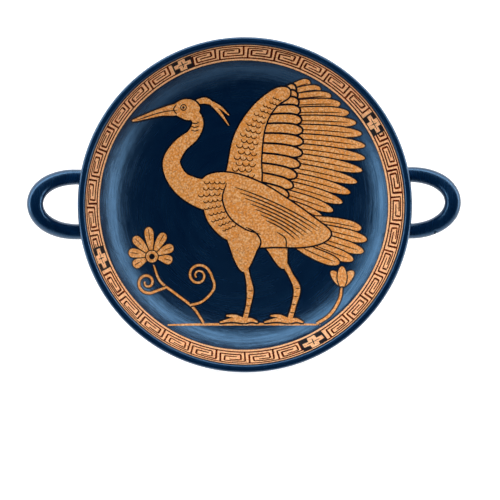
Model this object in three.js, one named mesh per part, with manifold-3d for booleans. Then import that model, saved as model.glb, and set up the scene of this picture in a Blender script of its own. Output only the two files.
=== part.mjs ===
// A stemmed Greek drinking cup (kylix): one thrown and fired clay body with a wide shallow bowl, a slender
// stem, a disc foot that is hollow underneath, and two loop handles luted to the outside of the bowl.
// Millimetres, +Z up. The origin is the middle of the resting ring under the foot, and the handles lie along X.
import * as THREE from "three";
import { mergeVertices } from "three/addons/utils/BufferGeometryUtils.js";
import Module from "manifold-3d";

const wasm = await Module();
wasm.setup();

// ---- Driving dimensions ----

const HEIGHT = 80; // resting surface to the top of the lip
const RIM_RADIUS = 100; // outside of the lip
const WALL = 4.6; // thickness of the bowl, which is also the lip's roundness

// The bowl's inside is a broad flat arc over the floor and a tighter arc up the wall.
const RIM_SLOPE = rad(60); // how steep the wall is where it meets the lip
const WALL_CURVE = 70; // radius of the wall's arc
const FLOOR_SLOPE = rad(18); // slope where the two arcs meet

const NECK_RADIUS = 10.5; // narrowest part of the stem
const NECK_HEIGHT = 21.5;
const STEM_TOP_RADIUS = 25; // where the stem has run out into the bowl's underside
const STEM_TOP_PULL = 11; // how far each end of that curve keeps its direction
const STEM_FOOT_RADIUS = 27; // where the stem has run out into the top of the foot

const FOOT_RADIUS = 40;
const FOOT_TOP = 10; // height of the foot's upper face beside the stem
const FOOT_SHOULDER = 8; // height of that face at its rim
const FOOT_EDGE = 2.6; // roundness of the foot's upper edge
const FOOT_CHAMFER = 1.2; // small bevel down to the resting ring
const RING_INSIDE = 35; // inner radius of the flat resting ring
const RECESS_RADIUS = 31; // the shallow recess inside the ring
const RECESS_HEIGHT = 2.4;
const HOLLOW_RADIUS = 11; // mouth of the cone that runs up inside the stem
const HOLLOW_HEIGHT = 26; // its rounded top
const HOLLOW_TOP_RADIUS = 3.5;

const HANDLE_RADIUS = 4.5; // the roll of clay is round
const HANDLE_TIP_RADIUS = 5.05; // and a little thicker where it is bent

// Middle of one leg to the handle's own middle line, and where the handle stands round the cup. They were set by
// hand, so they are neither quite alike nor quite opposite.
const RIGHT_HANDLE = { halfWidth: 17.1, turn: rad(0.9) };
const LEFT_HANDLE = { halfWidth: 16.4, turn: rad(179.8) };

const HANDLE_TIP = 125.1; // distance of the handle's outermost point from the cup's axis, along the roll's middle
const HANDLE_TIP_HEIGHT = 74.6;
const HANDLE_BEND_START = 100.5; // distance from the axis where the two legs start to bend towards each other
const HANDLE_LEVEL_START = 80; // distance from the axis, inside the wall, where the legs are level
const HANDLE_ROOT_HEIGHT = 59.8; // their height there; from there the handle sweeps up in one arc
const HANDLE_ROOT_DEPTH = 9; // how much further in the legs end
const ROOT_FLARE = 2.2; // how much the roll widens where it is smeared on to the bowl
const ROOT_FLARE_LENGTH = 0.17; // share of the roll's length, from each end, that widens

const TURNS = 72; // facets round the cup
const HANDLE_SIDES = 12;
const HANDLE_STEPS = 28;

// ---- The bowl's two arcs ----

const LIP = WALL / 2;
const lipMiddle = { r: RIM_RADIUS - LIP, z: HEIGHT - LIP };

// Where the inside of the wall runs into the lip, then the middles of the wall's and the floor's arcs.
const wallTop = along(lipMiddle, RIM_SLOPE, LIP);
const wallMiddle = along(wallTop, RIM_SLOPE, WALL_CURVE);
const wallFoot = along(wallMiddle, FLOOR_SLOPE, -WALL_CURVE);
const floorCurve = wallFoot.r / Math.sin(FLOOR_SLOPE);
const floorMiddle = along(wallFoot, FLOOR_SLOPE, floorCurve);

/** Degrees to radians. */
function rad(degrees) {
  return (degrees * Math.PI) / 180;
}

/** The point at a distance from another, square to a surface of the given slope and towards the cup's axis. */
function along(from, slope, distance) {
  return {
    r: from.r - distance * Math.sin(slope),
    z: from.z + distance * Math.cos(slope),
  };
}

/** Adds an arc to a profile, round a middle, between two slopes of the surface that it makes. */
function addArc(profile, middle, radius, fromSlope, toSlope, steps) {
  for (let i = 0; i <= steps; i++) {
    const slope = fromSlope + ((toSlope - fromSlope) * i) / steps;
    const at = along(middle, slope, -radius);
    profile.push(new THREE.Vector2(at.r, at.z));
  }
}

/** Adds the inside of the bowl to a profile, from the lip down to the axis, moved outwards into the wall. */
function addBowl(profile, intoWall) {
  addArc(profile, wallMiddle, WALL_CURVE + intoWall, RIM_SLOPE, FLOOR_SLOPE, 8);
  addArc(profile, floorMiddle, floorCurve + intoWall, FLOOR_SLOPE * 0.75, 0, 3);
}

/** Adds a cubic curve to a profile, without its first point. */
function addCurve(profile, a, b, c, d, steps) {
  const curve = new THREE.CubicBezierCurve(...[a, b, c, d].map(([r, z]) => new THREE.Vector2(r, z)));
  profile.push(...curve.getPoints(steps).slice(1));
}

/** Height of the bowl's underside at a radius inside the floor's arc. */
function undersideAt(radius) {
  const curve = floorCurve + WALL;
  return floorMiddle.z - Math.sqrt(curve * curve - radius * radius);
}

/** The whole cup without its handles: hollow, resting ring, foot, stem, outside, lip, inside. */
function cupProfile() {
  const profile = [new THREE.Vector2(0, HOLLOW_HEIGHT)];
  addCurve(
    profile,
    [0, HOLLOW_HEIGHT],
    [HOLLOW_TOP_RADIUS, HOLLOW_HEIGHT],
    [HOLLOW_TOP_RADIUS + 1, HOLLOW_HEIGHT - HOLLOW_TOP_RADIUS * 2],
    [HOLLOW_RADIUS, RECESS_HEIGHT * 2.4],
    4,
  );
  profile.push(new THREE.Vector2(RECESS_RADIUS, RECESS_HEIGHT));
  profile.push(new THREE.Vector2(RING_INSIDE, 0));
  profile.push(new THREE.Vector2(FOOT_RADIUS - FOOT_CHAMFER, 0));
  profile.push(new THREE.Vector2(FOOT_RADIUS, FOOT_CHAMFER));

  // The foot's upper edge is a quarter round.
  const edge = { r: FOOT_RADIUS - FOOT_EDGE, z: FOOT_SHOULDER - FOOT_EDGE };
  addArc(profile, edge, -FOOT_EDGE, rad(-90), rad(0), 4);

  // The foot's top, the stem and the bowl's underside flow into each other.
  profile.push(new THREE.Vector2(STEM_FOOT_RADIUS, FOOT_TOP));
  addCurve(
    profile,
    [STEM_FOOT_RADIUS, FOOT_TOP],
    [STEM_FOOT_RADIUS - 10, FOOT_TOP + 1.6],
    [NECK_RADIUS, NECK_HEIGHT - 7],
    [NECK_RADIUS, NECK_HEIGHT],
    6,
  );
  const stemTop = undersideAt(STEM_TOP_RADIUS);
  addCurve(
    profile,
    [NECK_RADIUS, NECK_HEIGHT],
    [NECK_RADIUS, NECK_HEIGHT + 7],
    [STEM_TOP_RADIUS - STEM_TOP_PULL, undersideAt(STEM_TOP_RADIUS - STEM_TOP_PULL)],
    [STEM_TOP_RADIUS, stemTop],
    6,
  );

  addArc(profile, floorMiddle, floorCurve + WALL, FLOOR_SLOPE * 0.75, FLOOR_SLOPE * 0.9, 1);
  addArc(profile, wallMiddle, WALL_CURVE + WALL, FLOOR_SLOPE, RIM_SLOPE, 7);
  // The lip turns over from the outside of the wall to its inside.
  addArc(profile, lipMiddle, LIP, RIM_SLOPE + rad(30), RIM_SLOPE + rad(150), 4);
  addBowl(profile, 0);
  return profile;
}

/** The space inside the bowl, widened to the middle of the wall, which trims the handles' ends. */
function cavityProfile() {
  const profile = [new THREE.Vector2(0, HEIGHT * 2), new THREE.Vector2(RIM_RADIUS - LIP, HEIGHT * 2)];
  addBowl(profile, LIP);
  return profile.reverse();
}

// ---- Solids ----

/** A closed geometry as a manifold-3d solid. */
function solidOf(geometry) {
  const bare = geometry.index ? geometry.toNonIndexed() : geometry.clone();
  bare.deleteAttribute("normal");
  bare.deleteAttribute("uv");
  const merged = mergeVertices(bare, 1e-4);
  return new wasm.Manifold(
    new wasm.Mesh({
      numProp: 3,
      vertProperties: merged.attributes.position.array,
      triVerts: new Uint32Array(merged.index.array),
    }),
  );
}

/** A solid of revolution about Z. */
function turned(profile) {
  return solidOf(new THREE.LatheGeometry(profile, TURNS).rotateX(Math.PI / 2));
}

/** The radius of the handle's roll at a share of its length: it swells at the bend and where it meets the bowl. */
function rollRadius(share) {
  const fromEnd = Math.min(share, 1 - share) / ROOT_FLARE_LENGTH;
  const flare = Math.max(0, 1 - fromEnd) ** 2;
  const bend = Math.sin(Math.PI * share) ** 2;
  return HANDLE_RADIUS + (HANDLE_TIP_RADIUS - HANDLE_RADIUS) * bend + ROOT_FLARE * flare;
}

/** Bends a flat geometry upwards, round a cylinder along Y that touches it at the geometry's origin. */
function sweepUp(geometry, radius) {
  const at = geometry.attributes.position;
  for (let i = 0; i < at.count; i++) {
    const angle = at.getX(i) / radius;
    const arm = radius - at.getZ(i);
    at.setXYZ(i, arm * Math.sin(angle), at.getY(i), radius - arm * Math.cos(angle));
  }
  return geometry;
}

/** A handle: a roll of clay bent into a flat U, which then sweeps up in an arc and is turned to its place. */
function handle({ halfWidth, turn }) {
  const run = HANDLE_TIP - HANDLE_LEVEL_START;
  const rise = HANDLE_TIP_HEIGHT - HANDLE_ROOT_HEIGHT;
  const sweep = (run * run + rise * rise) / (2 * rise);
  const flatLength = (distance) => sweep * Math.asin(distance / sweep);

  // The U as it lies before it is swept up, seen from above.
  const bendStart = flatLength(HANDLE_BEND_START - HANDLE_LEVEL_START);
  const reach = flatLength(run) - bendStart;
  const leg = (y) => [new THREE.Vector2(-HANDLE_ROOT_DEPTH, y), new THREE.Vector2(bendStart, y)];
  const route = new THREE.CurvePath();
  route.add(new THREE.LineCurve(...leg(-halfWidth)));
  route.add(new THREE.EllipseCurve(bendStart, 0, reach, halfWidth, -Math.PI / 2, Math.PI / 2));
  route.add(new THREE.LineCurve(...leg(halfWidth).reverse()));

  // A cylinder one unit long and one unit in radius is laid along the route.
  const roll = new THREE.CylinderGeometry(1, 1, 1, HANDLE_SIDES, HANDLE_STEPS);
  const at = roll.attributes.position;
  for (let i = 0; i < at.count; i++) {
    const share = THREE.MathUtils.clamp(at.getY(i) + 0.5, 0, 1);
    const middle = route.getPointAt(share);
    const ahead = route.getTangentAt(share);
    const radius = rollRadius(share);
    const side = at.getX(i) * radius;
    at.setXYZ(i, middle.x + ahead.y * side, middle.y - ahead.x * side, at.getZ(i) * radius);
  }
  return solidOf(sweepUp(roll, sweep).translate(HANDLE_LEVEL_START, 0, HANDLE_ROOT_HEIGHT).rotateZ(turn));
}

/** A manifold-3d solid as a three.js geometry. */
function geometryOf(solid) {
  const { vertProperties, triVerts } = solid.getMesh();
  const geometry = new THREE.BufferGeometry();
  geometry.setAttribute("position", new THREE.BufferAttribute(vertProperties, 3));
  geometry.setIndex(new THREE.BufferAttribute(triVerts, 1));
  return geometry;
}

/** The cup: the turned body with both handles, whose ends stop inside the wall. */
function cup() {
  const handles = handle(RIGHT_HANDLE).add(handle(LEFT_HANDLE)).subtract(turned(cavityProfile()));
  return turned(cupProfile()).add(handles);
}

// ---- The model ----

const blackGlaze = new THREE.MeshStandardMaterial({
  color: new THREE.Color(0x0a1626),
  roughness: 0.32,
  metalness: 0,
});

const kylix = new THREE.Mesh(geometryOf(cup()), blackGlaze);
kylix.name = "kylix_cup";

const model = new THREE.Group();
model.add(kylix);

export default model;
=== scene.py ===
"""The looks of a red-figure kylix: a wide, shallow Greek drinking cup on a stemmed foot, with two handles.

The cup is one piece of fired clay. Bare clay shows where its painter left it in reserve: the band of key
pattern, the water bird and the plants inside the bowl, and the underside of the foot. Glossy black slip
covers the rest. The paint has no thickness: the drawing is cut into the bowl's mesh, and every face of it
takes the finish of the last stroke that was laid over it. Sizes are in millimetres until the mesh is
finished.
"""

from __future__ import annotations

import logging
import math
import random
from dataclasses import dataclass, field
from enum import Enum
from typing import Sequence

import bmesh
import bpy
import numpy as np
from mathutils import Matrix, Vector, noise
from mathutils.geometry import delaunay_2d_cdt


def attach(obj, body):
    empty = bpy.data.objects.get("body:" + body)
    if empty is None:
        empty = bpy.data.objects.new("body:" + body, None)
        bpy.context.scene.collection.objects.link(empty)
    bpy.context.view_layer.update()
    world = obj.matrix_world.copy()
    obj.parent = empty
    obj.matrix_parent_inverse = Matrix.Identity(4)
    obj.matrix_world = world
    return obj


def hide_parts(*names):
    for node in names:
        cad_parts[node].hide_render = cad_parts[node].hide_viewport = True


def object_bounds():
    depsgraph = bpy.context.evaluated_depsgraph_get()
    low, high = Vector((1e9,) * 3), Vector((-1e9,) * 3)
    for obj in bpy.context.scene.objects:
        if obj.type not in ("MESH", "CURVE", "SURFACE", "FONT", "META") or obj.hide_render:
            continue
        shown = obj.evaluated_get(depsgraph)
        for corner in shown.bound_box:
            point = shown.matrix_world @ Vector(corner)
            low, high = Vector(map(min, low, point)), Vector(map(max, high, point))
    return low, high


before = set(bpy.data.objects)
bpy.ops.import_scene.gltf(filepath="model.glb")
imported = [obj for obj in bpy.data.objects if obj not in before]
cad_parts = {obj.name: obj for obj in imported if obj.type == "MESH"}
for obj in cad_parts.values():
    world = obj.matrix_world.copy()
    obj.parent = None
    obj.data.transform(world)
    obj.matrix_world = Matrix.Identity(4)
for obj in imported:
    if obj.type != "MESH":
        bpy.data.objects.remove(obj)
CAD_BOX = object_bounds()
MM = 0.001
TOLERANCE = 0.004  # millimetres within which two points of the drawing are one
SEAM = 0.002  # the same for two points of the mesh
NEAR = 0.01  # how close to a surface or to the axis counts as on it
HALVINGS = 30  # enough to find a place on the cup to a millionth of a millimetre
TAPER = (0.25, 0.6)  # share of a stroke over which it comes to its full width, and how bluntly it does
LOG = logging.getLogger("kylix")

Point = Sequence[float]
Path = np.ndarray
Colour = tuple[float, float, float, float]
WHITE: Colour = (1, 1, 1, 1)


class Paint(Enum):
    """What covers a part of the clay. The value is its place in the cup's list of materials."""

    SLIP = 0
    CLAY = 1
    RELIEF_LINE = 2
    THIN_LINE = 3
    # clay of the key band, paler than the figures' clay: partly its own colour, partly painted light and
    # sheen for the steep wall
    BAND_CLAY = 4
    FOOT_CLAY = 5
    KEY_LINE = 6


# ---- Curves of the drawing and of the cup's section ----


def smooth(knots: Sequence[Point], closed: bool = False, steps: int = 7) -> Path:
    """Draws a smooth curve.

    Args:
        knots: The points that it goes through.
        closed: Whether it returns to the first.
        steps: How many steps there are from one knot to the next.

    Returns:
        The curve's points.
    """
    k = np.asarray(knots, float)
    k = np.vstack([k[-1:], k, k[:2]] if closed else [2 * k[0] - k[1], k, 2 * k[-1] - k[-2]])
    t = np.linspace(0, 1, steps, endpoint=False)[:, None]
    spans = [
        b + 0.5 * ((c - a) * t + (2 * a - 5 * b + 4 * c - d) * t**2 + (3 * b - a - 3 * c + d) * t**3)
        for a, b, c, d in zip(k, k[1:], k[2:], k[3:])
    ]
    return np.vstack(spans if closed else spans + [k[-2:-1]])


def bezier(controls: Sequence[Point], steps: int) -> Path:
    """Draws a Bezier curve of any degree.

    Args:
        controls: Its controls, from its first point to its last.
        steps: How many steps it has.

    Returns:
        The curve's points.
    """
    t = np.linspace(0, 1, steps + 1)[:, None]
    rows = [np.asarray(c, float) for c in controls]
    while len(rows) > 1:
        rows = [(1 - t) * a + t * b for a, b in zip(rows, rows[1:])]
    return rows[0]


def arc(middle: Point, radius: float, start: float, end: float, steps: int) -> Path:
    """Draws an arc between two angles in degrees, anticlockwise from the first axis."""
    t = np.radians(np.linspace(start, end, steps + 1))
    return np.asarray(middle, float) + radius * np.stack([np.cos(t), np.sin(t)], 1)


def circle(middle: Point, radius: float, steps: int = 18) -> Path:
    """Draws a closed circle of that many points."""
    return arc(middle, radius, 0, 360, steps)[:-1]


def spiral(middle: Point, outer: float, inner: float, start: float, turns: float) -> Path:
    """Draws a spiral that winds inwards.

    Args:
        middle: Its centre.
        outer: The radius it starts from.
        inner: The radius it ends at.
        start: The angle it starts at, in degrees.
        turns: How many turns it makes, below zero for clockwise.

    Returns:
        The spiral's points.
    """
    t = np.linspace(0, 1, int(abs(turns) * 20) + 1)
    a = math.radians(start) + t * turns * math.tau
    r = outer + (inner - outer) * t**0.8
    return np.asarray(middle, float) + (r * np.stack([np.cos(a), np.sin(a)])).T


def lengths(path: Path) -> np.ndarray:
    """The distance along a path at each of its points."""
    return np.concatenate([[0], np.cumsum(np.linalg.norm(np.diff(path, axis=0), axis=1))])


def along_path(path: Path, values: np.ndarray, distance: np.ndarray) -> np.ndarray:
    """What lies at distances along a path, between the rows that it has for its own points."""
    d = lengths(path)
    return np.stack([np.interp(distance, d, values[:, i]) for i in (0, 1)], -1)


def at(path: Path, share: float | np.ndarray) -> np.ndarray:
    """The point, or the row of points, at a share of a path's length."""
    return along_path(path, path, np.asarray(share) * lengths(path)[-1])


def unit(rows: np.ndarray) -> np.ndarray:
    """The rows as directions of length one."""
    return rows / np.maximum(np.linalg.norm(rows, axis=1), 1e-9)[:, None]


def sideways(path: Path, closed: bool = False) -> np.ndarray:
    """The directions square to a path, to its left."""
    d = unit(np.roll(path, -1, 0) - np.roll(path, 1, 0) if closed else np.gradient(path, axis=0))
    return np.stack([-d[:, 1], d[:, 0]], 1)


def ribbon(path: Path, widths: Sequence[float]) -> Path:
    """Draws the outline of a band that follows a path.

    Args:
        path: Its middle line.
        widths: Its widths, at equal shares of the path.

    Returns:
        The outline.
    """
    shares = np.linspace(0, 1, len(path))
    half = np.interp(shares, np.linspace(0, 1, len(widths)), widths)[:, None] / 2
    side = sideways(path) * half
    return np.vstack([path + side, (path - side)[::-1]])


def leaf(root: Point, tip: Point, width: float, bend: float, widest: float, base: float) -> tuple[Path, Path]:
    """Draws a feather, petal or leaf.

    Args:
        root: Where it grows from.
        tip: Its rounded point.
        width: How wide it is at the widest.
        bend: How far its middle line bows to the left, as a share of its length.
        widest: Where it is widest, as a share of its length.
        base: How wide it is at the root, as a share of its width.

    Returns:
        Its middle line and its outline.
    """
    root, tip = np.asarray(root, float), np.asarray(tip, float)
    ahead = tip - root
    middle = (root + tip) / 2 + np.array([-ahead[1], ahead[0]]) * bend
    spine = at(bezier((root, middle, tip), 24), 1 - np.linspace(1, 0, 15) ** 1.7)
    t = lengths(spine) / lengths(spine)[-1]
    rising = base + (1 - base) * np.sin(np.clip(t / widest, 0, 1) * math.pi / 2)
    rounding = np.sqrt(np.clip(1 - (np.clip(t - widest, 0, 1) / (1 - widest)) ** 2, 0, 1))
    side = sideways(spine) * (rising * rounding * width / 2)[:, None]
    return spine, np.vstack([spine + side, (spine - side)[-2::-1]])


# ---- The painter's work ----


@dataclass
class Painting:
    """Shapes laid over each other, seen from above, in millimetres from the cup's axis.

    Args:
        shapes: Each shape's outline and paint, in the order in which they are laid.
    """

    shapes: list[tuple[Path, Paint]] = field(default_factory=list)

    def fill(self, outline: Path, paint: Paint) -> None:
        """Lays one shape of even paint."""
        self.shapes.append((np.asarray(outline, float), paint))

    def brush(
        self,
        path: Path,
        width: float,
        paint: Paint = Paint.RELIEF_LINE,
        ends: tuple[float, float] = (0.4, 0.4),
        closed: bool = False,
    ) -> None:
        """Lays a stroke, as a strip of short triangles, so that it may cross itself.

        Args:
            path: The stroke's middle line.
            width: How wide the brush is.
            paint: What is on it.
            ends: How wide the stroke starts and ends, as shares of its width.
            closed: Whether it returns to its start, at its full width all the way.
        """
        path = np.asarray(path, float)
        taper = np.ones(len(path))
        if not closed:
            t = lengths(path) / lengths(path)[-1]
            for share, end in ((t, ends[0]), (1 - t, ends[1])):
                taper = np.minimum(taper, end + (1 - end) * np.clip(share / TAPER[0], 0, 1) ** TAPER[1])
        side = sideways(path, closed) * (taper * width / 2)[:, None]
        left, right = path + side, path - side
        for i in range(len(path) if closed else len(path) - 1):
            j = (i + 1) % len(path)
            self.fill(np.array([left[i], left[j], right[j]]), paint)
            self.fill(np.array([left[i], right[j], right[i]]), paint)

    def reserve(self, *outlines: Path, contour: float) -> None:
        """Leaves shapes in reserve, with one contour line round all of them together.

        Args:
            outlines: The shapes.
            contour: How wide the line is.
        """
        for outline in outlines:
            self.brush(outline, 2 * contour, closed=True)
        for outline in outlines:
            self.fill(outline, Paint.CLAY)

    def divide(self, radius: float, turns: int, weave: float) -> tuple[Path, np.ndarray, np.ndarray]:
        """Divides a disc into triangles along the edges of every shape.

        Args:
            radius: The disc's radius.
            turns: How many points there are round it.
            weave: Distance between the other points that are added to the drawing's own.

        Returns:
            The corners, each triangle's three of them, and the value of the paint on it.
        """
        outlines = [circle((0, 0), radius, turns)] + [outline for outline, _ in self.shapes]
        corners, edges = [], []
        for outline in outlines:
            first, count = len(corners), len(outline)
            edges.extend((first + i, first + (i + 1) % count) for i in range(count))
            corners.extend(Vector(point) for point in outline)
        rings = int(radius / weave)
        for ring in range(1, rings):
            reach = radius * ring / rings
            loose = circle((0, 0), reach, max(8, int(math.tau * reach / weave)))
            corners.extend(Vector(point) for point in loose)
        cut = delaunay_2d_cdt(corners, edges, [], 0, TOLERANCE, False)
        plan = np.array([tuple(point) for point in cut[0]])
        triangles = np.array(cut[2])
        middles = plan[triangles].mean(1)
        order = np.argsort(middles[:, 0])
        middles = middles[order]
        paints = np.full(len(order), Paint.SLIP.value)
        for outline, paint in self.shapes:
            low, high = outline.min(0), outline.max(0)
            first, last = np.searchsorted(middles[:, 0], (low[0], high[0]))
            off = np.abs(middles[first:last, 1] - (low[1] + high[1]) / 2)
            near = first + np.flatnonzero(off <= (high[1] - low[1]) / 2)
            paints[near[self.covers(outline, middles[near])]] = paint.value
        laid = np.empty_like(paints)
        laid[order] = paints
        return plan, triangles, laid

    @staticmethod
    def covers(outline: Path, places: np.ndarray) -> np.ndarray:
        """Finds the places from which a line to the right crosses an outline an odd number of times.

        Args:
            outline: The outline of a shape.
            places: The places, one row each.

        Returns:
            Whether each of them lies under the shape.
        """
        a, b = outline, np.roll(outline, -1, 0)
        x, y = places[:, :1], places[:, 1:]
        spans = (a[:, 1] > y) != (b[:, 1] > y)
        rise = np.where(a[:, 1] == b[:, 1], 1, b[:, 1] - a[:, 1])
        crossing = a[:, 0] + (y - a[:, 1]) * (b[:, 0] - a[:, 0]) / rise
        return (spans & (x < crossing)).sum(1) % 2 == 1


@dataclass
class WaterBird(Painting):
    """A long-legged bird that walks to the left with one wing raised.

    Args:
        line: Width of the contours and the main lines inside them.
        fine_line: Width of the lines of the plumage.
        long_feathers: How many flight feathers the raised wing has.
        coverts: How many shorter feathers lie over them.
        scale_rows: How many rows of small feathers the wing's arm has.
    """

    line: float = 1.05
    fine_line: float = 0.68
    long_feathers: int = 15
    coverts: int = 13
    scale_rows: int = 17

    def feather(self, root: Point, tip: Point, width: float, bend: float, shaft: bool = True) -> None:
        """Lays one feather over those before it.

        Args:
            root: Where it grows from.
            tip: Its rounded point.
            width: How wide it is.
            bend: How far it bows to the left, as a share of its length.
            shaft: Whether its shaft shows.
        """
        spine, outline = leaf(root, tip, width, bend, widest=0.74, base=0.45)
        self.brush(outline, (1.6 if shaft else 2.4) * self.line, closed=True)
        self.fill(outline, Paint.CLAY)
        if shaft:
            self.brush(spine[3:12], self.fine_line, Paint.THIN_LINE, ends=(0.6, 0.3))

    def scales(self, left: Path, right: Path, rows: int, columns: int) -> None:
        """Lays rows of small round feathers.

        Args:
            left: The line that the rows start from.
            right: The line that they end at.
            rows: How many rows there are.
            columns: How many feathers each of them has.
        """
        for row, share in enumerate(np.linspace(0, 1, rows)):
            a, b = at(left, share), at(right, share)
            step = (b - a) / columns
            heading = math.degrees(math.atan2(step[1], step[0]))
            for column in range(columns):
                middle = a + step * (column + 0.25 + 0.5 * (row % 2))
                cup = arc(middle, np.linalg.norm(step) / 2, heading - 180, heading, 8)
                self.brush(cup, self.fine_line, Paint.THIN_LINE, ends=(0.7, 0.7))

    def wing(self) -> None:
        """Lays the raised wing: flight feathers, the coverts over their roots, and the arm over both."""
        bone = smooth([(4, 8), (3, 26), (5, 44), (12, 58), (24, 68)])
        tips = smooth([(50, -8), (63, 4), (72, 20), (73.5, 36), (67, 51), (55, 64), (40, 74)])
        for share in np.linspace(1, 0, self.long_feathers):
            self.feather(at(bone, share), at(tips, share), 6.2, 0.05)
        for share in np.linspace(1, 0, self.coverts):
            root = at(bone, share)
            tip = root + (at(tips, share) - root) * 0.47
            self.feather(root, tip, 6.0, 0.04, shaft=False)
        arm = [(-10, 6), (-8, 26), (-4, 44), (6, 60), (19, 70.5), (27, 71)]
        arm += [(28, 66), (20, 60), (14, 48), (12, 30), (12, 14), (6, 4)]
        self.reserve(smooth(arm, closed=True), contour=self.line)
        front = smooth([(-5, 16), (-4, 28), (0, 44), (8, 56), (19, 66)])
        back = smooth([(7, 16), (8, 28), (10.5, 44), (16, 55), (24, 64)])
        self.scales(front, back, self.scale_rows, 3)

    def tail(self) -> None:
        """Lays the five tail feathers."""
        tips = [(72, -14), (75, -21), (73, -28), (67, -33), (59, -35)]
        for place, tip in enumerate(tips):
            self.feather((36 - place * 2, -8 - place * 3), tip, 6.5, 0.05 - 0.03 * place)

    @staticmethod
    def leg(foot: Point, knee: Point, hip: Point) -> list[Path]:
        """Draws a leg below its thigh.

        Args:
            foot: Where its three toes meet.
            knee: The middle of the joint above them.
            hip: Where it leaves the thigh.

        Returns:
            The outlines of the shin and of each toe.
        """
        foot, knee, hip = (np.asarray(p, float) for p in (foot, knee, hip))
        shin = [hip, (hip + knee) / 2 + (0.4, 0), knee, (knee + foot) / 2 + (0.6, 0), foot]
        outlines = [ribbon(smooth(shin), (3.4, 2.6, 4.0, 2.5, 2.8))]
        for toe in ((-15, -0.8), (-11, 3.2), (8, -0.8)):
            reach = np.array(toe, float)
            bones = smooth([foot, foot + reach * 0.5 + (0, 1), foot + reach])
            outlines.append(ribbon(bones, (2.8, 2.2, 0.8)))
        return outlines

    def scutes(self, foot: Point, knee: Point) -> None:
        """Lays short lines across a shin.

        Args:
            foot: Its lower end.
            knee: Its upper end.
        """
        for share in (0.25, 0.5, 0.75, 1.0):
            middle = at(np.array([foot, knee], float), share) + (0.4, 0)
            self.brush(middle + [(-1.5, 0.3), (0, 0), (1.5, 0.2)], self.fine_line, Paint.THIN_LINE)

    def head(self) -> None:
        """Lays the lines of eye, beak and throat."""
        eye = (-36, 59.3)
        self.brush(circle(eye, 1.7), self.fine_line, closed=True)
        self.fill(circle(eye, 0.8, 12), Paint.RELIEF_LINE)
        self.brush(smooth([(-39, 57.8), (-50, 56), (-64, 51.2)]), self.fine_line)
        self.brush(smooth([(-40.5, 60.8), (-42, 58), (-40, 55.2)]), self.line * 0.75)

    def plumage(self) -> None:
        """Lays the lines of neck, breast, folded wing and thighs."""
        for drop in (0, 2.2, 4.4):
            band = smooth([(-31.2, 50.4 - drop), (-28.8, 49.8 - drop), (-26.2, 50.6 - drop)])
            self.brush(band, self.fine_line, ends=(0.6, 0.6))
        front = smooth([(-22, 15), (-25.5, 8), (-23, 1), (-18.5, -8), (-11, -14.5)])
        back = smooth([(-9, 15), (-12, 8), (-12, 1), (-8, -6), (-3, -11)])
        self.scales(front, back, 9, 4)
        for row in range(7):
            start = np.array([-4 + 3.2 * row, 11.5 - 3.4 * row])
            end = np.array([48.5 - 2.6 * row, -14 - 1.1 * row])
            middle = (start + end) / 2 + (3, 3.4 - 0.4 * row)
            self.brush(bezier((start, middle, end), 16), self.fine_line * 1.2, ends=(0.5, 0.3))
        for knots, share in (
            ([(-9, 14), (-11.5, 4), (-7, -7), (2, -14), (12, -17.5)], 1),
            ([(3, -13), (9, -16.5), (12, -22), (9.5, -29)], 1),
            ([(22, -16), (27, -20), (27.4, -27)], 0.8),
        ):
            self.brush(smooth(knots), self.line * share)

    def draw(self) -> None:
        """Lays the whole bird, from what is behind to what is in front."""
        self.wing()
        self.tail()
        near, far = ((1, -70), (5, -52), (1.5, -34)), ((28, -70), (33.4, -50.5), (25.5, -34))
        near_thigh = smooth([(-8, -14), (-6, -28), (-1, -39), (3.5, -39), (9, -28), (13, -16)], True)
        far_thigh = smooth([(12, -18), (18, -30), (24, -38), (27.5, -36), (28, -26), (28, -16)], True)
        plumes = [smooth([(-30, 62), (-22, 63 + k), (-14, 60 - 3 * k), (-8, 55 - 6 * k)]) for k in (0, 1)]
        crest = [ribbon(plume, (2.2, 2.4, 1.8, 0.5)) for plume in plumes]
        self.reserve(*crest, far_thigh, *self.leg(*far), contour=self.line)
        body = [(-24, 2), (-27, 11), (-20, 19), (-6, 20), (12, 14), (30, 3), (45, -8), (54, -16)]
        body += [(50, -22), (38, -25), (22, -25), (6, -25), (-10, -20), (-20, -10)]
        spine = smooth([(-12, 6), (-26, 8), (-38, 15), (-43, 26), (-38, 36), (-30, 43), (-27, 51), (-32, 58)])
        neck = ribbon(spine, (22, 17, 12.5, 10.5, 8.5, 7.2, 6.5, 7))
        skull = smooth([(-26, 58), (-29, 63), (-36, 64), (-43, 60), (-44, 57), (-39, 54), (-32, 52)], True)
        beak = [(-40, 61), (-50, 58.4), (-66, 51.5), (-67, 50.6), (-65, 50.4), (-50, 54), (-40, 55)]
        front = [near_thigh, *self.leg(*near), smooth(body, True), neck, skull, smooth(beak, True)]
        self.reserve(*front, contour=self.line)
        self.head()
        self.plumage()
        for foot, knee, _ in (near, far):
            self.scutes(foot, knee)


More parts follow.
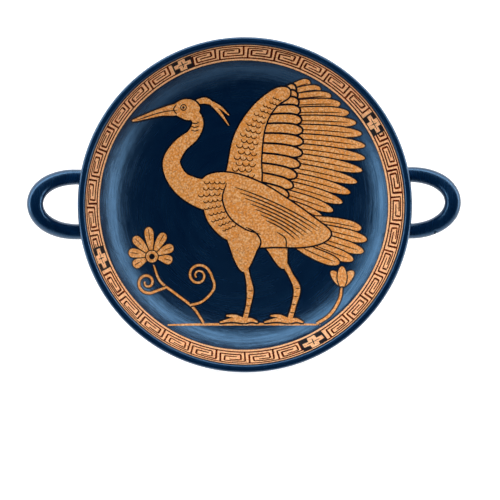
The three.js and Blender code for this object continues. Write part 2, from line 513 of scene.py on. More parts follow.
@dataclass
class Plants(Painting):
    """A palmette with two curling tendrils, a bud on its stem, and the ground line that both grow from.

    Args:
        ground: Height of the ground line in the picture.
        stem: How wide a stem is.
        contour: How wide the black line beside it is.
    """

    ground: float = -72.0
    stem: float = 1.4
    contour: float = 0.7

    def tendril(self, path: Path) -> None:
        """Lays a stem in reserve, with a contour on both its sides."""
        self.brush(path, self.stem + 2 * self.contour, ends=(1, 1))
        self.brush(path, self.stem, Paint.CLAY, ends=(0.9, 0.5))

    def palmette(self, middle: Point, size: float, heading: float) -> None:
        """Lays seven petals round a heart, the outer ones first.

        Args:
            middle: The middle of the heart.
            size: How far the longest petal reaches.
            heading: Which way that petal points, in degrees.
        """
        for off in (1, -1, 2 / 3, -2 / 3, 1 / 3, -1 / 3, 0):
            a = math.radians(heading - off * 110)
            ahead = np.array([math.cos(a), math.sin(a)])
            root = np.asarray(middle) + ahead * size * 0.2
            tip = np.asarray(middle) + ahead * size * (1 - 0.3 * abs(off))
            spine, outline = leaf(root, tip, size * 0.3, 0.1 * off, widest=0.75, base=0.3)
            self.reserve(outline, contour=self.contour)
            self.brush(spine[4:12], 0.5, Paint.THIN_LINE)
        self.reserve(circle(middle, size * 0.2), contour=self.contour)
        self.fill(circle(middle, size * 0.1, 14), Paint.RELIEF_LINE)

    def bud(self, middle: Point) -> None:
        """Lays a bud of three petals.

        Args:
            middle: The point that it stands on.
        """
        for off in (-1, 1, 0):
            tip = np.asarray(middle) + (0.5 + 6.5 * off, 12 - 3 * abs(off))
            outline = leaf(middle, tip, 5.2, 0.12 * off, widest=0.45, base=0.5)[1]
            self.reserve(outline, contour=self.contour)

    def draw(self) -> None:
        """Lays the ground line and both plants."""
        self.brush(bezier([(-46, self.ground), (46, self.ground)], 30), 1.4, Paint.CLAY, ends=(0.5, 0.5))
        self.tendril(smooth([(-24, -71), (-30, -62), (-40, -54), (-50, -46), (-54, -36)]))
        upper = smooth([(-32, -60.5), (-24, -58), (-17, -50), (-19, -41)])
        self.tendril(np.vstack([upper, spiral((-26.5, -42.5), 7.4, 1.6, 12, 1.6)]))
        lower = smooth([(-46, -49.5), (-56, -53)])
        self.tendril(np.vstack([lower, spiral((-58, -46.6), 6.6, 1.4, -76, -1.35)]))
        self.palmette((-55, -31), 18, 97)
        self.tendril(smooth([(44, -71.5), (52, -66), (58, -57), (60, -48)]))
        self.bud((60, -49))


# ---- The thrown form ----


@dataclass(frozen=True)
class CupForm:
    """The cup's section, whose bowl is a flat arc over the floor and a tighter arc up the wall.

    Args:
        rim_radius: Outside of the lip.
        height: From the resting ring to the top of the lip.
        wall: Thickness of the bowl.
        rim_slope: How steep the wall is at the lip, in degrees.
        floor_slope: The slope at which the two arcs meet.
        wall_curve: Radius of the wall's arc.
        neck: Radius and height of the narrowest part of the stem.
        stem_top: Radius at which the stem has run out into the bowl, and how far it holds its direction.
        stem_start: Share of the floor's slope at which the stem's own part of the underside starts.
        stem_foot: Radius at which the stem has run out into the foot.
        neck_pull: How far the stem keeps upright above and below its neck.
        foot_pull: How far in and up from its foot it turns level.
        foot: Radius of the foot.
        foot_top: Height of the foot's upper face beside the stem, and at its edge.
        foot_edge: Roundness of the foot's upper edge.
        bevel: Width of the small bevel down to the resting ring, and how far its middle stands back.
        ring_inside: Inner radius of the resting ring.
        recess: Radius and height of the shallow recess inside it.
        hollow: Radius of the mouth, height, and roundness of the cone that runs up inside the stem.
        mouth_height: Height of its mouth.
        rings: Where the two rings of slip round it start and end, as shares of the way in from the recess.
        line: Where the reserved line round the outside starts and ends, in degrees above the floor's arc.
    """

    rim_radius: float
    height: float
    wall: float = 4.6
    rim_slope: float = 60.0
    floor_slope: float = 18.0
    wall_curve: float = 70.0
    neck: tuple[float, float] = (10.5, 21.5)
    stem_top: tuple[float, float] = (25.0, 11.0)
    stem_start: float = 0.82
    stem_foot: float = 27.0
    neck_pull: float = 7.0
    foot_pull: tuple[float, float] = (10.0, 1.6)
    foot: float = 40.0
    foot_top: tuple[float, float] = (10.0, 8.0)
    foot_edge: float = 2.6
    bevel: tuple[float, float] = (1.2, 0.35)
    ring_inside: float = 35.0
    recess: tuple[float, float] = (31.0, 2.4)
    hollow: tuple[float, float, float] = (11.0, 26.0, 3.5)
    mouth_height: float = 5.76
    rings: tuple[float, float, float, float] = (0.22, 0.30, 0.62, 0.82)
    line: tuple[float, float] = (1.6, 0.6)

    @staticmethod
    def away(start: Point, slope: float, distance: float) -> np.ndarray:
        """The point at a distance from another, square to a surface of that slope and towards the axis."""
        a = math.radians(slope)
        return np.array([start[0] - distance * math.sin(a), start[1] + distance * math.cos(a)])

    @property
    def lip_middle(self) -> np.ndarray:
        """The middle of the lip's roundness."""
        return np.array([self.rim_radius - self.wall / 2, self.height - self.wall / 2])

    @property
    def wall_top(self) -> np.ndarray:
        """Where the inside of the wall runs into the lip."""
        return self.away(self.lip_middle, self.rim_slope, self.wall / 2)

    @property
    def wall_middle(self) -> np.ndarray:
        """The middle of the wall's arc."""
        return self.away(self.wall_top, self.rim_slope, self.wall_curve)

    @property
    def wall_foot(self) -> np.ndarray:
        """Where the wall's arc meets the floor's."""
        return self.away(self.wall_middle, self.floor_slope, -self.wall_curve)

    @property
    def floor_curve(self) -> float:
        """Radius of the floor's arc."""
        return float(self.wall_foot[0] / math.sin(math.radians(self.floor_slope)))

    @property
    def floor_middle(self) -> np.ndarray:
        """The middle of the floor's arc, on the cup's axis."""
        return self.away(self.wall_foot, self.floor_slope, self.floor_curve)

    def inside(self, plan: np.ndarray) -> tuple[np.ndarray, np.ndarray]:
        """Lifts points of the plan on to the inside of the bowl.

        Args:
            plan: The points, one row each.

        Returns:
            Their places on the bowl, and the bowl's normals there.
        """
        r = np.linalg.norm(plan, axis=1)
        on_wall = r > self.wall_foot[0]
        middle = np.where(on_wall[:, None], self.wall_middle, self.floor_middle)
        curve = np.where(on_wall, self.wall_curve, self.floor_curve)
        sine = (r - middle[:, 0]) / curve
        cosine = np.sqrt(1 - sine**2)
        normals = np.column_stack([-unit(plan) * sine[:, None], cosine])
        return np.column_stack([plan, middle[:, 1] - curve * cosine]), normals

    def wall_radius(self, start: float, climb: np.ndarray) -> np.ndarray:
        """Climbs the inside of the wall.

        Args:
            start: The plan radius that the climb starts from.
            climb: How far it goes.

        Returns:
            The plan radius that it ends at.
        """
        middle = self.wall_middle[0]
        slope = math.asin((start - middle) / self.wall_curve)
        return middle + self.wall_curve * np.sin(slope + climb / self.wall_curve)

    def outside_distance(self, places: np.ndarray) -> tuple[np.ndarray, np.ndarray]:
        """How far points are outside the bowl's outer wall.

        Args:
            places: The points, one row each.

        Returns:
            The distances, and the directions straight away from the wall.
        """
        r = np.linalg.norm(places[:, :2], axis=1)
        out = np.column_stack([r, places[:, 2]]) - self.wall_middle
        far = np.linalg.norm(out, axis=1)
        out /= far[:, None]
        flat = places[:, :2] / r[:, None] * out[:, :1]
        return far - (self.wall_curve + self.wall), np.column_stack([flat, out[:, 1]])

    def underside(self, radius: float) -> tuple[float, float]:
        """The point of the bowl's underside at a radius, over the floor's arc."""
        under = self.floor_curve + self.wall
        return radius, float(self.floor_middle[1] - math.sqrt(under**2 - radius**2))

    def stem(self, under: float, flat: float) -> Path:
        """Draws the stem and the top of the foot, from the bowl to the foot's edge.

        Args:
            under: Radius of the underside's arc.
            flat: The angle on that arc where the stem's slip starts, in degrees.

        Returns:
            The curve's points.
        """
        top_radius, pull = self.stem_top
        neck, height = self.neck
        top, shoulder = self.foot_top
        edge = self.foot - self.foot_edge
        above, below = (neck, height + self.neck_pull), (neck, height - self.neck_pull)
        level = (self.stem_foot - self.foot_pull[0], top + self.foot_pull[1])
        upper = (self.underside(top_radius), self.underside(top_radius - pull), above, self.neck)
        lower = (self.neck, below, level, (self.stem_foot, top))
        slope = math.degrees(math.asin(top_radius / under))
        runs = (
            bezier(upper, 18),
            bezier(lower, 18),
            bezier(((self.stem_foot, top), (edge, shoulder)), 6),
            arc((edge, shoulder - self.foot_edge), self.foot_edge, 90, 0, 8),
        )
        return np.vstack([arc(self.floor_middle, under, flat, slope - 90, 10), *(run[1:] for run in runs)])

    def bands(self) -> list[tuple[Paint, Path]]:
        """Draws the section from the inside of the lip, down the outside and up into the hollow stem.

        Returns:
            The bands of one paint that it is made of, each starting where the one before it ends.
        """
        bowl, under = self.wall_curve + self.wall, self.floor_curve + self.wall
        low, flat = self.floor_slope - 90, self.floor_slope * self.stem_start - 90
        above, below = (low + angle for angle in self.line)
        mouth, top, bend = self.hollow
        bevel, back = self.bevel

        def wall(start: float, end: float, steps: int) -> Path:
            """A stretch of the wall's outside."""
            return arc(self.wall_middle, bowl, start, end, steps)

        def straight(start: Point, end: Point, first: float = 0, last: float = 1, steps: int = 3) -> Path:
            """A stretch of a straight line, by shares of it."""
            return at(np.array([start, end]), np.linspace(first, last, steps + 1))

        lip = arc(self.lip_middle, self.wall / 2, 90 + self.rim_slope, self.rim_slope - 90, 14)
        side = ((self.foot, self.foot_top[1] - self.foot_edge), (self.foot, bevel))
        ring = (side[1], (self.foot - back, back), (self.foot - bevel, 0))
        cone = ((mouth, self.mouth_height), (bend + 1, top - 2 * bend), (bend, top), (0, top))
        shares = (0, *self.rings, 1)
        paints = (Paint.FOOT_CLAY, Paint.RELIEF_LINE, Paint.FOOT_CLAY, Paint.SLIP, Paint.FOOT_CLAY)
        disc = [
            (paint, straight(self.recess, cone[0], first, last, steps))
            for paint, first, last, steps in zip(paints, shares, shares[1:], (3, 1, 3, 3, 2))
        ]
        return [
            (Paint.SLIP, np.vstack([lip, wall(self.rim_slope - 90, above, 34)[1:]])),
            (Paint.FOOT_CLAY, wall(above, below, 2)),
            (Paint.SLIP, np.vstack([wall(below, low, 2), arc(self.floor_middle, under, low, flat, 4)[1:]])),
            (Paint.SLIP, self.stem(under, flat)),
            (Paint.FOOT_CLAY, straight(*side)),
            (Paint.FOOT_CLAY, np.array(ring)),
            (Paint.FOOT_CLAY, straight(ring[-1], (self.ring_inside, 0))),
            (Paint.SLIP, straight((self.ring_inside, 0), self.recess)),
            *disc,
            (Paint.SLIP, bezier(cone, 12)),
        ]


@dataclass(kw_only=True)
class KeyBand(Painting):
    """The band of running key pattern that the painter left in reserve under the lip.

    It is drawn as it lies on the steep wall, by the degrees round the cup and the share of the climb up the
    wall, so that every stroke is as wide as the brush wherever it runs.

    Args:
        form: The cup that it is painted on.
        base: Plan radius of the circle that the keys stand on.
        climb: How far above it the upper circle lies, up the wall.
        border: Plan radii of the reserved ring's two edges.
        border_line: How wide the lines along both edges are together.
        brush_width: How wide the strokes are.
        rules: Widths of the lower and the upper circle, as shares of a stroke's.
        thin: Width of the squares' thin crosses, as a share of a stroke's.
        boxes: Where each crossed square starts and ends, in degrees round the cup.
        keys: How many whole keys run from each square to the next, and the width of one, in degrees.
        wander: How far the painter's hand strays, as a rule.
        farthest: The farthest that it ever does.
        pressure: The least and the most width of a stroke, as shares of its own.
        spacing: How far apart the points of a stroke are.
    """

    form: CupForm
    base: float = 88.3
    climb: float = 10.5
    border: tuple[float, float] = (87.0, 95.15)
    border_line: float = 0.7
    brush_width: float = 1.2
    rules: tuple[float, float] = (0.62, 0.52)
    thin: float = 0.55
    boxes: tuple[tuple[float, float], ...] = ((27.9, 36.3), (110.1, 118.05), (195.9, 204.9), (291.6, 301.5))
    keys: tuple[tuple[int, float], ...] = ((7, 10.54), (8, 10.26), (8, 10.84), (8, 10.26))
    wander: float = 0.16
    farthest: float = 0.3
    pressure: tuple[float, float] = (0.88, 1.1)
    spacing: float = 0.8

    def __post_init__(self) -> None:
        """Seeds the painter's hand, which strays the same way each time."""
        self.hand = random.Random(5)

    def lay(self, path: Path) -> Path:
        """Lays a path on the wall.

        Args:
            path: Degrees round the cup, and the share of the climb.

        Returns:
            The path in plan.
        """
        radius = self.form.wall_radius(self.base, path[:, 1] * self.climb)
        a = np.radians(path[:, 0])
        return np.column_stack([radius * np.cos(a), radius * np.sin(a)])

    def stroke(self, corners: Sequence[Point], paint: Paint, width: float, ends: tuple[float, float]) -> None:
        """Lays a stroke with corners, at the brush's own width on the wall.

        Args:
            corners: Degrees round the cup, and the share of the climb, at each corner.
            paint: What is on the brush.
            width: How wide it is.
            ends: How wide the stroke starts and ends, as shares of its width.
        """
        scale = np.array([math.radians(1) * self.base, self.climb])
        stray = [(self.hand.gauss(0, self.wander), self.hand.gauss(0, self.wander)) for _ in corners]
        knots = np.asarray(corners, float) * scale + np.clip(stray, -self.farthest, self.farthest)
        shares = np.linspace(0, 1, max(4, int(lengths(knots)[-1] / self.spacing)))
        laid = Painting()
        laid.brush(at(knots, shares), width * self.hand.uniform(*self.pressure), paint, ends)
        for outline, _ in laid.shapes:
            self.fill(self.lay(outline / scale), paint)

    def key(self, start: float, width: float) -> None:
        """Lays one key: two hooks that hold each other.

        Args:
            start: Where it starts, in degrees round the cup; it runs clockwise from there.
            width: How wide it is, in degrees.
        """
        standing = [(0, 0), (0, 0.82), (0.69, 0.82), (0.69, 0.42), (0.27, 0.42)]
        hanging = [(0.845, 1), (0.845, 0.21), (0.14, 0.21), (0.14, 0.66), (0.53, 0.66)]
        for hook in (standing, hanging):
            corners = [(start - u * width, v) for u, v in hook]
            self.stroke(corners, Paint.KEY_LINE, self.brush_width, ends=(1, 0.8))

    def crossed_square(self, start: float, end: float) -> None:
        """Lays a black square with a cross in reserve, and a thin black cross inside it.

        Args:
            start: Where it starts, in degrees round the cup.
            end: Where it ends.
        """
        for left, right, bottom, top, paint in (
            (0, 1, -0.04, 1.04, Paint.RELIEF_LINE),
            (0.08, 0.93, 0.34, 0.68, Paint.BAND_CLAY),
            (0.34, 0.68, 0.04, 0.97, Paint.BAND_CLAY),
        ):
            edge = [(left, bottom), (right, bottom), (right, top), (left, top), (left, bottom)]
            corners = np.array([(start + u * (end - start), v) for u, v in edge])
            self.fill(self.lay(at(corners, np.linspace(0, 1, 32, endpoint=False))), paint)
        middle, reach = (start + end) / 2, (end - start) * 0.26
        level, upright = [(middle - reach, 0.51), (middle + reach, 0.51)], [(middle, 0.24), (middle, 0.78)]
        for corners in (level, upright):
            self.stroke(corners, Paint.RELIEF_LINE, self.brush_width * self.thin, (0.7, 0.7))

    def draw(self) -> None:
        """Lays the band: the reserved ring, its lines, the keys and the crossed squares."""
        inner, outer = self.border
        middle, top = (inner + outer) / 2, float(self.form.wall_radius(self.base, np.array(self.climb)))
        for radius, width, paint in (
            (middle, outer - inner + self.border_line, Paint.RELIEF_LINE),
            (middle, outer - inner, Paint.BAND_CLAY),
            (self.base, self.brush_width * self.rules[0], Paint.KEY_LINE),
            (top, self.brush_width * self.rules[1], Paint.KEY_LINE),
        ):
            self.brush(circle((0, 0), radius, 256), width, paint, closed=True)
        following = [*self.boxes[1:], (self.boxes[0][0] + 360, 0)]
        for (_, start), (end, _), (count, width) in zip(self.boxes, following, self.keys):
            for place in np.arange(start + width, end + width * 0.7, width)[: count + 1]:
                self.key(float(place), width)
        for start, end in self.boxes:
            self.crossed_square(start, end)


@dataclass
class Handle:
    """A roll of clay, bent to a flat loop that sweeps upwards, and smoothed on to the bowl at both ends.

    Args:
        form: The cup that it is luted to.
        tip: Distance of its outermost point from the axis, along the roll's middle.
        half_width: From the handle's own middle line to the middle of a leg.
        turn: Where it stands round the cup, in degrees.
        tip_height: Height of the roll's middle at its outermost point.
        radius: Radius of the roll along the legs.
        swelling: How much more it is at the tip.
        level_at: Distance from the axis where the legs are level.
        root_height: Their height there.
        root_depth: How much further in they end.
        reach: How far from their ends they are well outside the wall.
        bend_at: Distance from the axis where the legs bend towards each other.
        fillet: How far the smoothed clay reaches out along the roll, and over the bowl.
        root_rings: How many sections the smoothed clay has.
        buried: How deep under the bowl's surface the skin ends.
        sides: How many sides the roll has.
        spacing: How far apart its sections are.
        fineness: How far apart the points of its flat loop are.
        unevenness: How far the roll's thickness strays, as a share of it.
        change: How fast it does so along the roll and round it.
    """

    form: CupForm
    tip: float
    half_width: float
    turn: float
    tip_height: float = 74.6
    radius: float = 4.45
    swelling: float = 0.5
    level_at: float = 80.0
    root_height: float = 59.8
    root_depth: float = 12.0
    reach: float = 36.0
    bend_at: float = 100.5
    fillet: tuple[float, float] = (6.0, 4.2)
    root_rings: int = 9
    buried: float = 1.2
    sides: int = 28
    spacing: float = 1.5
    fineness: float = 0.25
    unevenness: float = 0.02
    change: tuple[float, float] = (0.09, 0.8)

    @property
    def sweep(self) -> float:
        """Radius of the arc that the handle sweeps up in."""
        run, rise = self.tip - self.level_at, self.tip_height - self.root_height
        return (run * run + rise * rise) / (2 * rise)

    def flat_length(self, run: float) -> float:
        """How long the flat loop is over a run of the swept one."""
        return self.sweep * math.asin(run / self.sweep)

    def loop(self) -> Path:
        """Draws the flat loop, from one end inside the wall to the other.

        Returns:
            Its middle line.
        """
        bend = self.flat_length(self.bend_at - self.level_at)
        reach = self.flat_length(self.tip - self.level_at) - bend
        turn = arc((0, 0), 1, -90, 90, 60) * (reach, self.half_width) + (bend, 0)
        end = np.array([(-self.root_depth, -self.half_width)])
        path = np.vstack([end, turn, end * (1, -1)])
        return at(path, np.linspace(0, 1, int(lengths(path)[-1] / self.fineness)))

    def surface(self, path: Path, place: np.ndarray) -> tuple[np.ndarray, np.ndarray]:
        """The section of the roll at places along it.

        Args:
            path: The flat loop.
            place: One distance along it for each side of the roll.

        Returns:
            A point for each side, and the directions out of the roll there.
        """
        middle = along_path(path, path, place)
        aside = along_path(path, -sideways(path), place)
        a = np.linspace(0, math.tau, self.sides, endpoint=False)
        marks = np.column_stack([middle * self.change[0], np.sin(a) * self.change[1]])
        uneven = np.array([noise.noise(Vector(mark)) for mark in marks])
        swelling = self.swelling * np.sin(math.pi * place / lengths(path)[-1]) ** 2
        radius = ((self.radius + swelling) * (1 + self.unevenness * uneven))[:, None]
        out = np.column_stack([aside * np.cos(a)[:, None], np.sin(a)])
        flat = np.column_stack([middle, np.zeros(self.sides)]) + out * radius
        bend = flat[:, 0] / self.sweep
        cos, sin = np.cos(bend), np.sin(bend)
        arm = self.sweep - flat[:, 2]
        swept = np.column_stack([arm * sin, flat[:, 1], self.sweep - arm * cos])
        facing = (out[:, 0] * cos - out[:, 2] * sin, out[:, 1], out[:, 0] * sin + out[:, 2] * cos)
        return swept + (self.level_at, 0, self.root_height), np.column_stack(facing)

    def seam(self, path: Path, start: float, end: float) -> np.ndarray:
        """Finds where the roll meets the bowl, by halving the stretch between two places along it.

        Args:
            path: The flat loop.
            start: A distance along it that is inside the wall.
            end: A distance along it that is well outside.

        Returns:
            The distance for each side of the roll.
        """
        low, high = np.full(self.sides, start), np.full(self.sides, end)
        for _ in range(HALVINGS):
            middle = (low + high) / 2
            outside = self.form.outside_distance(self.surface(path, middle)[0])[0] > 0
            low, high = np.where(outside, low, middle), np.where(outside, middle, high)
        return high

    def root(self, path: Path, start: float, end: float) -> tuple[np.ndarray, list[np.ndarray]]:
        """Draws the smoothed clay at one end.

        Args:
            path: The flat loop.
            start: A distance along it that is inside the wall.
            end: A distance along it that is well outside.

        Returns:
            Where the smoothed clay leaves each side of the roll, and its rings from inside the wall outwards.
        """
        seam = self.seam(path, start, end)
        along_roll, over_bowl = self.fillet
        leaves = seam + math.copysign(along_roll, end - start)
        corner, out = self.surface(path, seam)
        away = self.form.outside_distance(corner)[1]
        edge = corner + unit(out - (out * away).sum(1)[:, None] * away) * over_bowl
        rise, away = self.form.outside_distance(edge)
        edge -= away * rise[:, None]
        roll, shares = self.surface(path, leaves)[0], np.linspace(1, 0, self.root_rings)
        rings = [(1 - t) ** 2 * roll + 2 * t * (1 - t) * corner + t**2 * edge for t in shares]
        return leaves, [edge - away * self.buried, *rings]

    def rings(self) -> list[np.ndarray]:
        """Draws the whole handle.

        Returns:
            Its sections, from one root to the other.
        """
        path = self.loop()
        whole = lengths(path)[-1]
        first, near = self.root(path, 0, self.reach)
        last, far = self.root(path, whole, whole - self.reach)
        shares = np.linspace(0, 1, int(whole / self.spacing))[1:-1]
        return near + [self.surface(path, first + (last - first) * s)[0] for s in shares] + far[::-1]

    def build(self, bm: bmesh.types.BMesh, around: object, along: object) -> list[bmesh.types.BMFace]:
        """Adds the handle to a mesh, as one closed skin.

        Args:
            bm: The mesh.
            around: The layer that takes each vertex's place round the roll, as a share of a turn.
            along: The layer that takes its place along the roll, as a share of its length.

        Returns:
            The faces.
        """
        sections = self.rings()
        place_on_cup = Matrix.Rotation(math.radians(self.turn), 3, "Z")
        rings = []
        for number, section in enumerate(sections):
            verts = bmesh.ops.create_circle(bm, segments=self.sides, radius=1)["verts"]
            for place, (vert, point) in enumerate(zip(verts, section)):
                vert.co = place_on_cup @ Vector(point)
                vert[around] = place / self.sides
                vert[along] = number / (len(sections) - 1)
            rings.append(list(dict.fromkeys(edge for vert in verts for edge in vert.link_edges)))
            if number:
                bmesh.ops.bridge_loops(bm, edges=rings[-2] + rings[-1])
        for ring in (rings[0], rings[-1]):
            bmesh.ops.contextual_create(bm, geom=ring)
        return list(dict.fromkeys(face for ring in rings for edge in ring for face in edge.link_faces))


# ---- Finishes ----


STREAK_RADIUS = 100.0  # distance from the axis at which streaks are as long as they are said to be
STREAK_CLIMB = 0.7  # how much a step up the wall counts across the streaks, against a step outwards


class Nodes:
    """A tree of nodes in the making."""

    def __init__(self, tree: bpy.types.NodeTree) -> None:
        """Takes up the tree."""
        self.tree = tree

    def feed(self, socket: bpy.types.NodeSocket, value: object) -> None:
        """Gives an input what it takes.

        Args:
            socket: The input.
            value: A number, a colour or another node's output.
        """
        if isinstance(value, bpy.types.NodeSocket):
            self.tree.links.new(value, socket)
        else:
            socket.default_value = value

    def add(self, kind: str, *inputs: object, **values: object) -> bpy.types.Node:
        """Adds a node.

        Args:
            kind: Its type.
            inputs: What its first inputs take.
            values: Its properties, and what its other inputs take by their names, with _ for a space.

        Returns:
            The node.
        """
        node = self.tree.nodes.new(kind)
        for name in [name for name in values if hasattr(node, name)]:
            setattr(node, name, values.pop(name))
        for socket, value in zip(node.inputs, inputs):
            self.feed(socket, value)
        for name, value in values.items():
            self.feed(node.inputs[name.replace("_", " ")], value)
        return node

    def reckon(self, operation: str, *values: object) -> bpy.types.NodeSocket:
        """The result of a Math node."""
        return self.add("ShaderNodeMath", *values, operation=operation).outputs[0]

    def spread(self, value: object, *limits: float, **values: str) -> bpy.types.NodeSocket:
        """A value moved from one range to another and held inside it, by the ends of both."""
        return self.add("ShaderNodeMapRange", value, *limits, **values).outputs[0]


class Recipe(Nodes):
    """A material in the making, with one Principled shader."""

    def __init__(self, name: str) -> None:
        """Starts a material.

        Args:
            name: Its name.
        """
        self.material = bpy.data.materials.new(name)
        self.material.use_nodes = True
        super().__init__(self.material.node_tree)
        self.object = self.add("ShaderNodeTexCoord").outputs["Object"]

    def finish(self, **values: object) -> bpy.types.Material:
        """Gives the shader's sockets what they take.

        Args:
            values: A value for each, by its name with _ for a space.

        Returns:
            The material.
        """
        for name, value in values.items():
            self.feed(self.tree.nodes["Principled BSDF"].inputs[name.replace("_", " ")], value)
        return self.material

    def grain(self, size: float, **values: object) -> bpy.types.NodeSocket:
        """Even noise from 0 to 1, with marks of that size in millimetres."""
        settings = {"Vector": self.object, "Detail": 2.0, "Roughness": 0.5} | values
        return self.add("ShaderNodeTexNoise", Scale=1 / (size * MM), **settings).outputs[0]

    def streaks(self, round_size: float, across_size: float, detail: float = 3.0) -> bpy.types.NodeSocket:
        """Noise from 0 to 1 that runs round the cup, as a brush held to the wheel leaves it.

        Args:
            round_size: How long its marks are at the rim, in millimetres.
            across_size: How wide they are.
            detail: How many finer layers it has.

        Returns:
            The noise.
        """
        flat = self.add("ShaderNodeVectorMath", self.object, (1, 1, 0), operation="MULTIPLY").outputs[0]
        ahead = self.add("ShaderNodeVectorMath", flat, operation="NORMALIZE").outputs[0]
        reach = self.add("ShaderNodeVectorMath", flat, operation="LENGTH").outputs["Value"]
        rise = self.add("ShaderNodeSeparateXYZ", self.object).outputs[2]
        across = self.reckon("MULTIPLY_ADD", rise, STREAK_CLIMB, reach)
        across = self.reckon("MULTIPLY", across, 1 / (across_size * MM))
        turn = self.add("ShaderNodeVectorMath", ahead, operation="SCALE", Scale=STREAK_RADIUS / round_size)
        x, y, _ = self.add("ShaderNodeSeparateXYZ", turn.outputs[0]).outputs
        vector = self.add("ShaderNodeCombineXYZ", x, y, across).outputs[0]
        return self.add("ShaderNodeTexNoise", Vector=vector, Scale=1.0, Detail=detail).outputs[0]

    def weigh(self, first: object, second: object) -> bpy.types.NodeSocket:
        """Two noises in one, mostly the first."""
        return self.reckon("ADD", self.reckon("MULTIPLY", first, 0.6), self.reckon("MULTIPLY", second, 0.4))

    def mix(self, factor: object, low: object, high: object) -> bpy.types.NodeSocket:
        """Turns one colour into another.

        Args:
            factor: How far.
            low: The colour at 0.
            high: The colour at 1.

        Returns:
            The colour.
        """
        node = self.add("ShaderNodeMix", factor, data_type="RGBA")
        for place, colour in ((6, low), (7, high)):
            self.feed(node.inputs[place], colour)
        return node.outputs[2]

    def bumps(self, *layers: tuple[object, float, float]) -> bpy.types.NodeSocket:
        """Lays bumps over each other.

        Args:
            layers: The height of each from 0 to 1, how high 1 is in millimetres, and how much of it shows.

        Returns:
            The normal.
        """
        values = {}
        for height, distance, strength in layers:
            values |= {"Height": height, "Distance": distance * MM, "Strength": strength}
            values["Normal"] = self.add("ShaderNodeBump", **values).outputs[0]
        return values["Normal"]


@dataclass(frozen=True)
class BlackSlip:
    """Glossy black slip, laid on with a broad brush while the cup turned.

    Args:
        name: The finish's name.
        deep: Its colour where it is thick, tinted navy: partly a painted blue reflection of the light on the
            gloss.
        thin: Its colour where the brush left it thin, with the same painted navy tint.
        gloss: How strong its gloss is.
        sheen: The tint of its gloss.
        roughness: How sharp its gloss is where it is smoothest and roughest.
    """

    name: str = "black_slip"
    # both colours carry a navy tint that is a painted blue reflection of the light, over the slip's own black
    deep: Colour = (0.0002, 0.0061, 0.0238, 1)
    thin: Colour = (0.0008, 0.0095, 0.0310, 1)
    gloss: float = 0.95
    sheen: Colour = (0.22, 0.56, 1.0, 1)
    roughness: tuple[float, float] = (0.17, 0.31)

    def make(self) -> bpy.types.Material:
        """Mixes the finish.

        Returns:
            The material.
        """
        r = Recipe(self.name)
        broad, fine, cloud = r.streaks(60, 5.0), r.streaks(28, 1.2, detail=2), r.grain(14, Detail=3)
        hollows, peel = r.grain(8), r.grain(1.6)
        return r.finish(
            Base_Color=r.mix(r.spread(r.weigh(broad, cloud), 0.38, 0.66, 0, 1), self.deep, self.thin),
            Roughness=r.spread(r.weigh(fine, cloud), 0.35, 0.65, *self.roughness),
            Specular_IOR_Level=self.gloss,
            Specular_Tint=self.sheen,
            Normal=r.bumps((broad, 0.35, 0.25), (hollows, 0.5, 0.35), (fine, 0.08, 0.25), (peel, 0.05, 0.2)),
        )


@dataclass(frozen=True)
class BareClay:
    """Fired clay, smoothed but bare, with the grit of the body showing as fine speckles.

    Args:
        name: The finish's name.
        body: Its main colour.
        light: The colour of its pale flecks.
        dark: The colour of its dark flecks.
        flush: The colour that it turns to in broad clouds.
        fleck: How large the flecks are, in millimetres.
        roughness: How matt it is.
    """

    name: str
    body: Colour = (0.57, 0.225, 0.045, 1)
    light: Colour = (0.70, 0.41, 0.19, 1)
    dark: Colour = (0.30, 0.125, 0.045, 1)
    flush: Colour = (0.60, 0.205, 0.030, 1)
    fleck: float = 0.95
    roughness: float = 0.52

    def make(self) -> bpy.types.Material:
        """Mixes the finish.

        Returns:
            The material.
        """
        r = Recipe(self.name)
        grit = r.grain(self.fleck, Detail=3, Roughness=0.6)
        elsewhere = r.add("ShaderNodeMapping", Vector=r.object, Location=(3, 1, 2)).outputs[0]
        colour = self.body
        for marks, low, high, share, other in (
            (r.grain(16, Detail=3), 0.35, 0.65, 0.7, self.flush),
            (r.grain(self.fleck * 1.4, Vector=elsewhere), 0.46, 0.62, 0.9, self.light),
            (grit, 0.50, 0.64, 0.9, self.dark),
        ):
            colour = r.mix(r.spread(marks, low, high, 0, share), colour, other)
        return r.finish(
            Base_Color=colour,
            Roughness=r.spread(grit, 0.3, 0.7, self.roughness - 0.06, self.roughness + 0.08),
            Specular_IOR_Level=0.35,
            Normal=r.bumps((r.streaks(60, 1.4), 0.12, 0.3), (grit, 0.06, 0.4)),
        )


@dataclass(frozen=True)
class DrawnLine:
    """Slip that was drawn on the clay as a line.

    Args:
        name: The finish's name.
        full: Its colour where the brush was full.
        dry: Its colour where it ran dry.
        roughness: How matt it is.
        gloss: How strong its gloss is.
    """

    name: str
    full: Colour
    dry: Colour
    roughness: float = 0.3
    gloss: float = 0.3

    def make(self) -> bpy.types.Material:
        """Mixes the finish.

        Returns:
            The material.
        """
        r = Recipe(self.name)
        dryness, grit = r.grain(2.2, Detail=3), r.grain(0.7)
        return r.finish(
            Base_Color=r.mix(r.spread(dryness, 0.5, 0.72, 0, 1), self.full, self.dry),
            Roughness=r.spread(grit, 0.3, 0.7, self.roughness - 0.05, self.roughness + 0.1),
            Specular_IOR_Level=self.gloss,
            Normal=r.bumps((grit, 0.05, 0.3)),
        )


